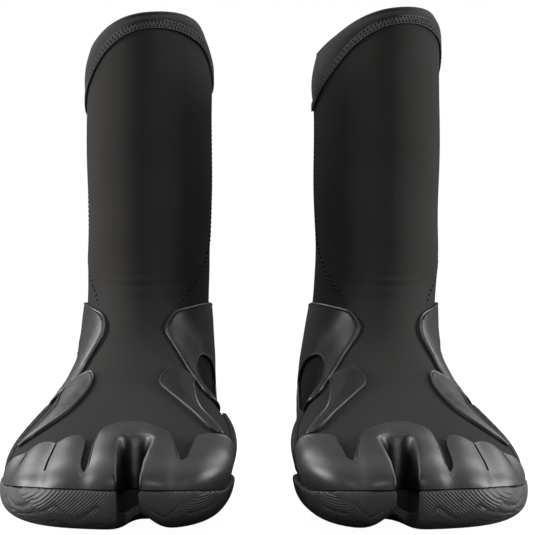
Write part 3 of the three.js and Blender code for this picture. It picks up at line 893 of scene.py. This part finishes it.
def rubber_material(name, rubber, bloom, rough, relief=None, depth=0.05, painted_shade=None):
    """Rubber with its grain, and a moulded relief and a share of painted shade (colour mixed towards near
    black) where they are given, each as a function of the nodes and the place."""
    material, nodes, inputs = new_material(name, rough, Specular_IOR_Level=0.5)
    place = nodes.place()
    group = nodes.add("ShaderNodeGroup", 0, {"node_tree": RUBBER}, Place=place, Rubber=rubber, Bloom=bloom,
                      Rough=rough).node
    color = group.outputs["Color"]
    # Painted shade: where the given share is 1 the base colour goes to near black.
    if painted_shade:
        color = nodes.mix(painted_shade(nodes, place), color, (0.003, 0.003, 0.003, 1))
    nodes.tree.links.new(color, inputs["Base Color"])
    nodes.tree.links.new(group.outputs["Roughness"], inputs["Roughness"])
    bump = nodes.add("ShaderNodeBump", Strength=0.5, Distance=depth * MM, Height=group.outputs["Height"])
    if relief:
        bump = nodes.add("ShaderNodeBump", Strength=0.5, Distance=0.2 * MM, Height=relief(nodes, place),
                         Normal=bump)
    nodes.tree.links.new(bump, inputs["Normal"])
    return material


def rib_pair(nodes, first, second, spacing):
    """Fine ribs along both diagonals of two directions, that many millimetres apart."""
    diagonal = 0.7
    turn = 2 * np.pi / spacing * diagonal
    return [nodes.math("SINE", nodes.math("MULTIPLY", nodes.math(operation, first, second), turn))
            for operation in ("ADD", "SUBTRACT")]


def fine_ribs(nodes, place):
    """Fine ribs, 1.2 mm apart, that turn by a quarter from one band round the toes to the next. The
    bands are as wide as the zigzag grooves are apart."""
    parts = nodes.parts(place)
    unrolled = nodes.math("SUBTRACT", parts["Z"], parts["Y"])
    one, other = rib_pair(nodes, parts["X"], unrolled, 1.2)
    waves = nodes.math("SINE", nodes.math("MULTIPLY", unrolled, np.pi * MM / GROOVE_SPACING))
    band = nodes.math("GREATER_THAN", waves, 0.0)
    return nodes.add("ShaderNodeMix", 0, {"data_type": "FLOAT"}, _0=band, _2=one, _3=other)


sole_rubber = rubber_material("outsole_rubber", (0.038, 0.0375, 0.037, 1), (0.064, 0.063, 0.0625, 1), 0.55,
                              fine_ribs)
outsole = outsole_shape()
for side in SIDES:
    tread = make_piece("rubber_outsole", outsole, side, sole_rubber)
    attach(tread, f"{side}_foot")
    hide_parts(f"{side}_outsole")

# ---------------------------------------------------------------------------------------------
# Toe cap. A moulded rubber skin over the toes with one lobe for each toe, soft at its edges. It
# rounds down into the slot, and narrow slits part the small toes.
TOE_END_SHARE = 0.3125
CAP_VOXEL = 0.9 * MM
CAP_EASING = 9
# The cap's rear edge in plan, across and along, from the little toe to the big toe.
CAP_EDGE = np.array([
    [-64, -97], [-44, -100], [-36, -103], [-32, -101], [-27, -101], [-22.5, -105], [-19, -103.5],
    [-13, -102.5], [-10, -108], [-8, -134], [-6.2, -136], [-4.8, -134], [-4.5, -110], [-2, -94], [4, -88.5],
    [11, -88], [18, -92], [26, -100], [31, -118], [33.6, -126], [36.4, -124], [37.6, -115], [40, -101],
    [45.5, -92], [53, -84], [66, -82],
]) * MM
# Both ends in plan of each slit, and of each valley between the toes' lobes.
CAP_SLITS = np.array([[[-35.4, -97], [-39, -115]], [[-22.6, -97], [-25, -131]]]) * MM
SLIT_WIDTH = 1.2 * MM
TOE_VALLEYS = np.array([
    [[-35.4, -97], [-43, -124]], [[-22.6, -97], [-26, -140]], [[-7, -104], [-6, -140]],
    [[13, -99], [13, -140]], [[34, -110], [32, -140]],
]) * MM
VALLEY_WIDTH = 4.5 * MM
TOE_PUFF = 1.7 * MM


def walked_along(path):
    """The length walked along a path up to each of its points."""
    return np.append(0, np.cumsum(np.linalg.norm(np.diff(path, axis=0), axis=1)))


def at_lengths(path, walked, lengths):
    """The path's places at the given walked lengths."""
    return np.stack([np.interp(lengths, walked, path[:, axis]) for axis in range(path.shape[1])], -1)


def rounded_line(points, spacing, closed):
    """A centripetal Catmull-Rom line through the points, at even spacing along its length."""
    if closed:
        points = np.vstack([points[-1:], points, points[:2]])
    else:
        points = np.vstack([2 * points[0] - points[1], points, 2 * points[-1] - points[-2]])
    a, b, c, d = points[:-3], points[1:-2], points[2:-1], points[3:]
    ab, bc, cd = (np.sqrt(np.linalg.norm(q - p, axis=1))[:, None, None]
                  for p, q in ((a, b), (b, c), (c, d)))
    a, b, c, d = (p[:, None] for p in (a, b, c, d))
    t = np.linspace(0, 1, 24, endpoint=False)[None, :, None] * bc
    first = (b - a) / ab * (ab + t) + a
    second = (c - b) / bc * t + b
    third = (d - c) / cd * (t - bc) + c
    low = first + (second - first) * (ab + t) / (ab + bc)
    high = second + (third - second) * t / (bc + cd)
    line = (low + (high - low) * t / bc).reshape(-1, 2)
    line = np.vstack([line, line[:1] if closed else points[-2:-1]])
    walked = walked_along(line)
    count = int(round(walked[-1] / spacing))
    return at_lengths(line, walked, np.linspace(0, walked[-1], count, endpoint=not closed))


def slit_body(ends):
    """A narrow upright block over a slit of the toe cap."""
    run = unit(ends[1] - ends[0])
    step = np.array([-run[1], run[0]]) * SLIT_WIDTH / 2
    corners = np.array([ends[0] + step, ends[1] + step, ends[1] - step, ends[0] - step])
    return prism(corners, 2, 0, FAR_OUT)


def bead(line, axes, allowed, radius, reach, closed=True):
    """A rounded lip along a line drawn in a flat view and laid on the rubber's outer face."""
    share, angle = on_last(line, axes, allowed)
    path = last_points(share, angle, reach)
    walked = walked_along(path)
    even = np.linspace(0, walked[-1], max(8, int(walked[-1] / (0.8 * MM))))
    base = at_lengths(last_points(share, angle, reach - 1 * MM), walked, even)
    path = at_lengths(path, walked, even)
    if closed:
        path, base = path[:-1], base[:-1]
    return tube(path, path - base, radius, sides=8, closed=closed)


def upper_half(points):
    """Points of the last on its upper half, above the line of its greatest width."""
    return points[..., 2] > 24 * MM


def toe_relief(points):
    """Reach of the cap's outer face: each toe's lobe stands up softly between valleys that follow
    the slits, the gaps and the slot."""
    plan = points[..., :2]
    nearest = np.full(points.shape[:-1], 1.0)
    for start, end in TOE_VALLEYS:
        run = end - start
        share = np.clip(((plan - start) @ run) / (run @ run), 0, 1)[..., None]
        nearest = np.minimum(nearest, np.linalg.norm(plan - start - share * run, axis=-1))
    puffed = 1 - np.exp(-(nearest / VALLEY_WIDTH) ** 2)
    toes = smoothstep(-points[..., 1], 88 * MM, 108 * MM)
    above_sole = smoothstep(points[..., 2], 20 * MM, 27 * MM)
    return GLUE_LINE + SKIN + TOE_PUFF * puffed * toes * above_sole


def toe_cap_shape():
    """The skin between the toes' outer face and the neoprene, both eased at their edges, in front of
    the cap's edge and over the outsole's, with its slits cut and a thin bead along its edge."""
    outer = last_body(toe_relief, shares=(0, TOE_END_SHARE), rows=140, columns=220)
    outer = rounded(carved(outer, "DIFFERENCE", cleft_body()), CAP_VOXEL, CAP_EASING)
    seat = last_body(GLUE_LINE, shares=(0, TOE_END_SHARE + 0.01), rows=110, columns=200)
    seat = rounded(carved(seat, "DIFFERENCE", cleft_body(SKIN)), CAP_VOXEL, CAP_EASING)
    edge = rounded_line(CAP_EDGE, 0.6 * MM, closed=False)
    in_front = -0.4
    plan = np.vstack([edge, [[edge[-1, 0], in_front], [edge[0, 0], in_front]]])
    cap = carved(outer, "INTERSECT", prism(plan, 2, 0, FAR_OUT))
    slits = [slit_body(ends) for ends in CAP_SLITS]
    cap = carved(cap, "DIFFERENCE", seat, below_sole_edge(GLUE_LINE), *slits)
    seen = edge[np.abs(edge[:, 0]) < 50 * MM]
    return joined(cap, bead(seen, [0, 1], upper_half, 0.38 * MM, GLUE_LINE + SKIN * 0.9, closed=False))


def painted_slot_shade(nodes, place):
    """1 on the walls of the slot between the toes, where painted shade darkens the rubber towards near black.
    """
    parts = nodes.parts(place)
    across = nodes.math("ABSOLUTE", nodes.math("SUBTRACT", parts["X"], CLEFT_ACROSS / MM))
    half_width, steepness, behind_slot = 6.8, 0.7, 2
    inside = nodes.math("MULTIPLY", nodes.math("SUBTRACT", half_width, across), steepness)
    slot_end = (CLEFT_DEPTH - FOOT_LENGTH / 2) / MM
    in_front = nodes.math("LESS_THAN", parts["Y"], slot_end + behind_slot)
    return nodes.math("MULTIPLY", nodes.math("MAXIMUM", inside, 0.0), in_front)


# The cap's slot walls get painted shade: their colour is mixed towards near black.
cap_rubber = rubber_material("toe_cap_rubber", (0.036, 0.0355, 0.035, 1), (0.064, 0.063, 0.062, 1), 0.40,
                             painted_shade=painted_slot_shade)
cap_shape = toe_cap_shape()
for side in SIDES:
    cap = make_piece("rubber_toe_cap", cap_shape, side, cap_rubber)
    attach(cap, f"{side}_foot")
    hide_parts(f"{side}_toe_cap")

# ---------------------------------------------------------------------------------------------
# Rubber overlays. Thin moulded skins bonded to the neoprene: a cage with a window on each side of
# the ankle, a leaf on each side of the instep, a ribbed patch on each side of the ball of the foot,
# and a cup round the heel. Cages, leaves and patches are a little domed; cages and leaves have a rounded lip.
# Cages and patches are drawn from the side, along and up; leaves in plan, across and along.
CAGES = {
    INNER: {
        "edge": [[100, 94], [36, 94.5], [18, 88], [3, 73.5], [-14, 64], [-34, 55], [-16, 47], [20, 38],
                 [70, 38], [108, 52], [116, 76]],
        "window": [[-18, 56.5], [8, 66], [40, 73], [76, 69], [96, 57], [70, 46], [30, 45], [0, 50]],
    },
    OUTER: {
        "edge": [[100, 94], [34, 93.5], [20, 86], [6, 72], [-12, 58.5], [-2, 49], [24, 40], [70, 38],
                 [108, 52], [116, 76]],
        "window": [[6, 58], [22, 67], [46, 73], [78, 69], [96, 57], [72, 46], [40, 45], [18, 50]],
    },
}
LEAVES = {
    INNER: [[17, -38], [17, -27], [21, -17], [29, -18], [31, -30], [37, -62], [48, -84], [44, -84], [33, -67],
            [21, -46]],
    OUTER: [[-16.5, -22], [-20, -12], [-29, -10], [-31, -25], [-31, -45], [-36, -64], [-43, -80], [-38, -80],
            [-24, -62], [-18, -40]],
}
PATCHES = {
    INNER: [[-44, 49], [-72, 41], [-80, 36], [-80, 25], [6, 25], [2, 36], [-18, 43]],
    OUTER: [[-16, 51], [-28, 46.5], [-50, 39], [-76, 31], [-84, 26], [6, 25], [4, 38], [-6, 46]],
}
HEEL_CUP = np.array([[168, 62], [112, 48], [78, 34], [38, 31], [30, 25], [30, 10], [168, 10]]) * MM
LIP = 0.7 * MM
LIP_REACH = GLUE_LINE + SKIN * 0.62
OUTLINE_SPACING = 0.8 * MM
EDGE_ROUNDING = 2.4 * MM


def inset(points, lines, axes):
    """Distance in a flat view from each point to the nearest of the outlines' points."""
    flat = points.reshape(-1, 3)[:, axes]
    near = np.full(len(flat), 1.0)
    for line in lines:
        low, high = line.min(0) - 5 * MM, line.max(0) + 5 * MM
        close = ((flat > low) & (flat < high)).all(-1)
        gap = np.linalg.norm(flat[close, None].astype("f4") - line[None].astype("f4"), axis=-1).min(1)
        near[close] = np.minimum(near[close], gap)
    return near.reshape(points.shape[:-1])


def overlay(direction, edge, facing, windows=(), dome=0.4 * MM, floor=None):
    """A skin over an outline drawn from the side (direction 0) or in plan (2), thinner towards its
    edges by a quarter circle, and domed by a little more in its middle."""
    axes = [axis for axis in range(3) if axis != direction]

    def thickness(points):
        near = np.clip(inset(points, [edge, *windows], axes) / EDGE_ROUNDING, 0, 1)
        swell = smoothstep(inset(points, [edge, *windows], axes), 0, 9 * MM)
        return GLUE_LINE + SKIN * (0.45 + 0.55 * np.sqrt(1 - (1 - near) ** 2)) + dome * swell

    reach = (0, FAR_OUT * facing) if direction == 0 else (floor, FAR_OUT)
    body = last_body(thickness, rows=300, columns=230)
    body = carved(body, "INTERSECT", prism(edge, direction, *sorted(reach)))
    holes = [prism(window, direction, *sorted(reach)) for window in windows]
    return carved(body, "DIFFERENCE", last_body(GLUE_LINE), below_sole_edge(GLUE_LINE), *holes)


def cage_shape(facing):
    """The skin round the ankle bone, with a lip along its edge and round its window."""
    edge, window = (rounded_line(np.array(CAGES[facing][key]) * MM, OUTLINE_SPACING, closed=True)
                    for key in ("edge", "window"))
    lips = [bead(line, [1, 2], on_side(facing), LIP, LIP_REACH) for line in (edge, window)]
    return joined(overlay(0, edge, facing, [window]), *lips)


def leaf_shape(facing):
    """The leaf on the instep, the most domed of the skins, with a lip along its edge."""
    edge = rounded_line(np.array(LEAVES[facing]) * MM, OUTLINE_SPACING, closed=True)
    lip = bead(edge, [0, 1], upper_half, LIP, LIP_REACH)
    return joined(overlay(2, edge, facing, dome=0.9 * MM, floor=30 * MM), lip)


def stepped(corners, steps):
    """A straight-sided outline with that many points along each side."""
    return np.vstack([np.linspace(start, end, steps, endpoint=False)
                      for start, end in zip(corners, np.roll(corners, -1, 0))])


def patch_shape(facing):
    """The ribbed patch beside the ball of the foot."""
    return overlay(0, stepped(np.array(PATCHES[facing]) * MM, 24), facing, dome=0.3 * MM)


def heel_shape():
    """The cup round the heel: one skin over both sides, thinner towards its edge."""
    edge = stepped(HEEL_CUP, 40)

    def thickness(points):
        return GLUE_LINE + SKIN * (0.4 + 0.6 * smoothstep(inset(points, [edge], [1, 2]), 0, EDGE_ROUNDING))

    body = last_body(thickness, rows=240, columns=230)
    body = carved(body, "INTERSECT", prism(HEEL_CUP, 0, -FAR_OUT, FAR_OUT))
    return carved(body, "DIFFERENCE", last_body(GLUE_LINE), below_sole_edge(GLUE_LINE))


overlay_rubber = rubber_material("overlay_rubber", (0.017, 0.0167, 0.0163, 1), (0.031, 0.0304, 0.0297, 1),
                                 0.38)


def diagonal_ribs(nodes, place):
    """Crossed fine ribs, 1.6 mm apart, seen from the side."""
    parts = nodes.parts(place)
    return nodes.math("MULTIPLY", *rib_pair(nodes, parts["Y"], parts["Z"], 1.6))


patch_rubber = rubber_material("ribbed_patch_rubber", (0.014, 0.014, 0.0145, 1), (0.024, 0.024, 0.025, 1),
                               0.55, diagonal_ribs)
overlays = [("rubber_heel_cup", heel_shape(), overlay_rubber, "rubber", "heel_cup")]
for half, facing in (("inner", INNER), ("outer", OUTER)):
    overlays += [
        (f"{half}_cage_rubber", cage_shape(facing), overlay_rubber, "rubber", f"{half}_ankle_cage"),
        (f"{half}_leaf_rubber", leaf_shape(facing), overlay_rubber, "rubber", f"{half}_instep_leaf"),
        (f"{half}_patch_rubber", patch_shape(facing), patch_rubber, "textured_rubber", f"{half}_side_patch"),
    ]
for name, shape, material, slot_name, node in overlays:
    for side in SIDES:
        piece = make_piece(name, shape, side, material)
        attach(piece, f"{side}_foot")
        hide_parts(f"{side}_{node}")

# ---------------------------------------------------------------------------------------------
# Studio. A pale floor under a white surround, with soft lights overhead, in front, behind to the left
# and right, and at both sides. Floor and surround are white to the camera and light the boots little.
FLOOR_GLOW = 0.98
SURROUND_LIGHT = 0.15
SURROUND_SEEN = 0.85
floor = bpy.data.objects.new("floor", box_body((-30, -30, -0.02), (30, 30, -0.0005)))
bpy.context.scene.collection.objects.link(floor)
floor_paint, _, floor_inputs = new_material("pale_floor", 0.9)
floor_inputs["Base Color"].default_value = (0.14, 0.14, 0.14, 1)
floor_inputs["Emission Color"].default_value = (1, 1, 1, 1)
glow = Nodes(floor_paint.node_tree)
floor_paint.node_tree.links.new(glow.math("MULTIPLY", glow.add("ShaderNodeLightPath", 0), FLOOR_GLOW),
                                floor_inputs["Emission Strength"])
floor.data.materials.append(floor_paint)

world = bpy.data.worlds.new("surround")
bpy.context.scene.world = world
world.use_nodes = True
surround = Nodes(world.node_tree)
seen = surround.add("ShaderNodeLightPath", 0)
strength = surround.math("MULTIPLY_ADD", seen, SURROUND_SEEN, SURROUND_LIGHT)
world.node_tree.nodes["Background"].inputs["Color"].default_value = (1, 1, 1, 1)
world.node_tree.links.new(strength, world.node_tree.nodes["Background"].inputs["Strength"])


def soft_box(name, place, size, power, aim):
    """A rectangular studio light of some watts, turned from its place towards a point."""
    lamp = bpy.data.lights.new(name, "AREA")
    lamp.shape = "RECTANGLE"
    lamp.size, lamp.size_y = size
    lamp.energy = power
    holder = bpy.data.objects.new(name, lamp)
    holder.location = place
    holder.rotation_euler = (Vector(aim) - Vector(place)).to_track_quat("-Z", "Y").to_euler()
    bpy.context.scene.collection.objects.link(holder)


soft_box("overhead_light", (0, 0.1, 1.5), (1.6, 1.2), 3, (0, 0, 0))
soft_box("front_light", (0, -1.8, 0.8), (1.2, 0.6), 10, (0, -0.1, 0.05))
soft_box("back_left_light", (-0.9, 0.9, 1.0), (0.7, 0.7), 7.5, (0, 0, 0.05))
soft_box("back_right_light", (0.9, 0.9, 1.0), (0.7, 0.7), 6, (0, 0, 0.05))
soft_box("left_light", (-1.3, 0.1, 0.45), (0.5, 0.9), 18, (0, 0, 0.1))
soft_box("right_light", (1.3, 0.1, 0.45), (0.5, 0.9), 16, (0, 0, 0.1))

CAMERA_PLACE = (0, -1.2004, 0.116)
camera = bpy.data.objects.new("camera", bpy.data.cameras.new("camera"))
camera.location = CAMERA_PLACE
camera.rotation_euler = (np.pi / 2, 0, 0)
camera.data.sensor_width = 36
camera.data.lens = 168.56
bpy.context.scene.collection.objects.link(camera)
bpy.context.scene.camera = camera
bpy.context.scene.view_settings.view_transform = "Standard"
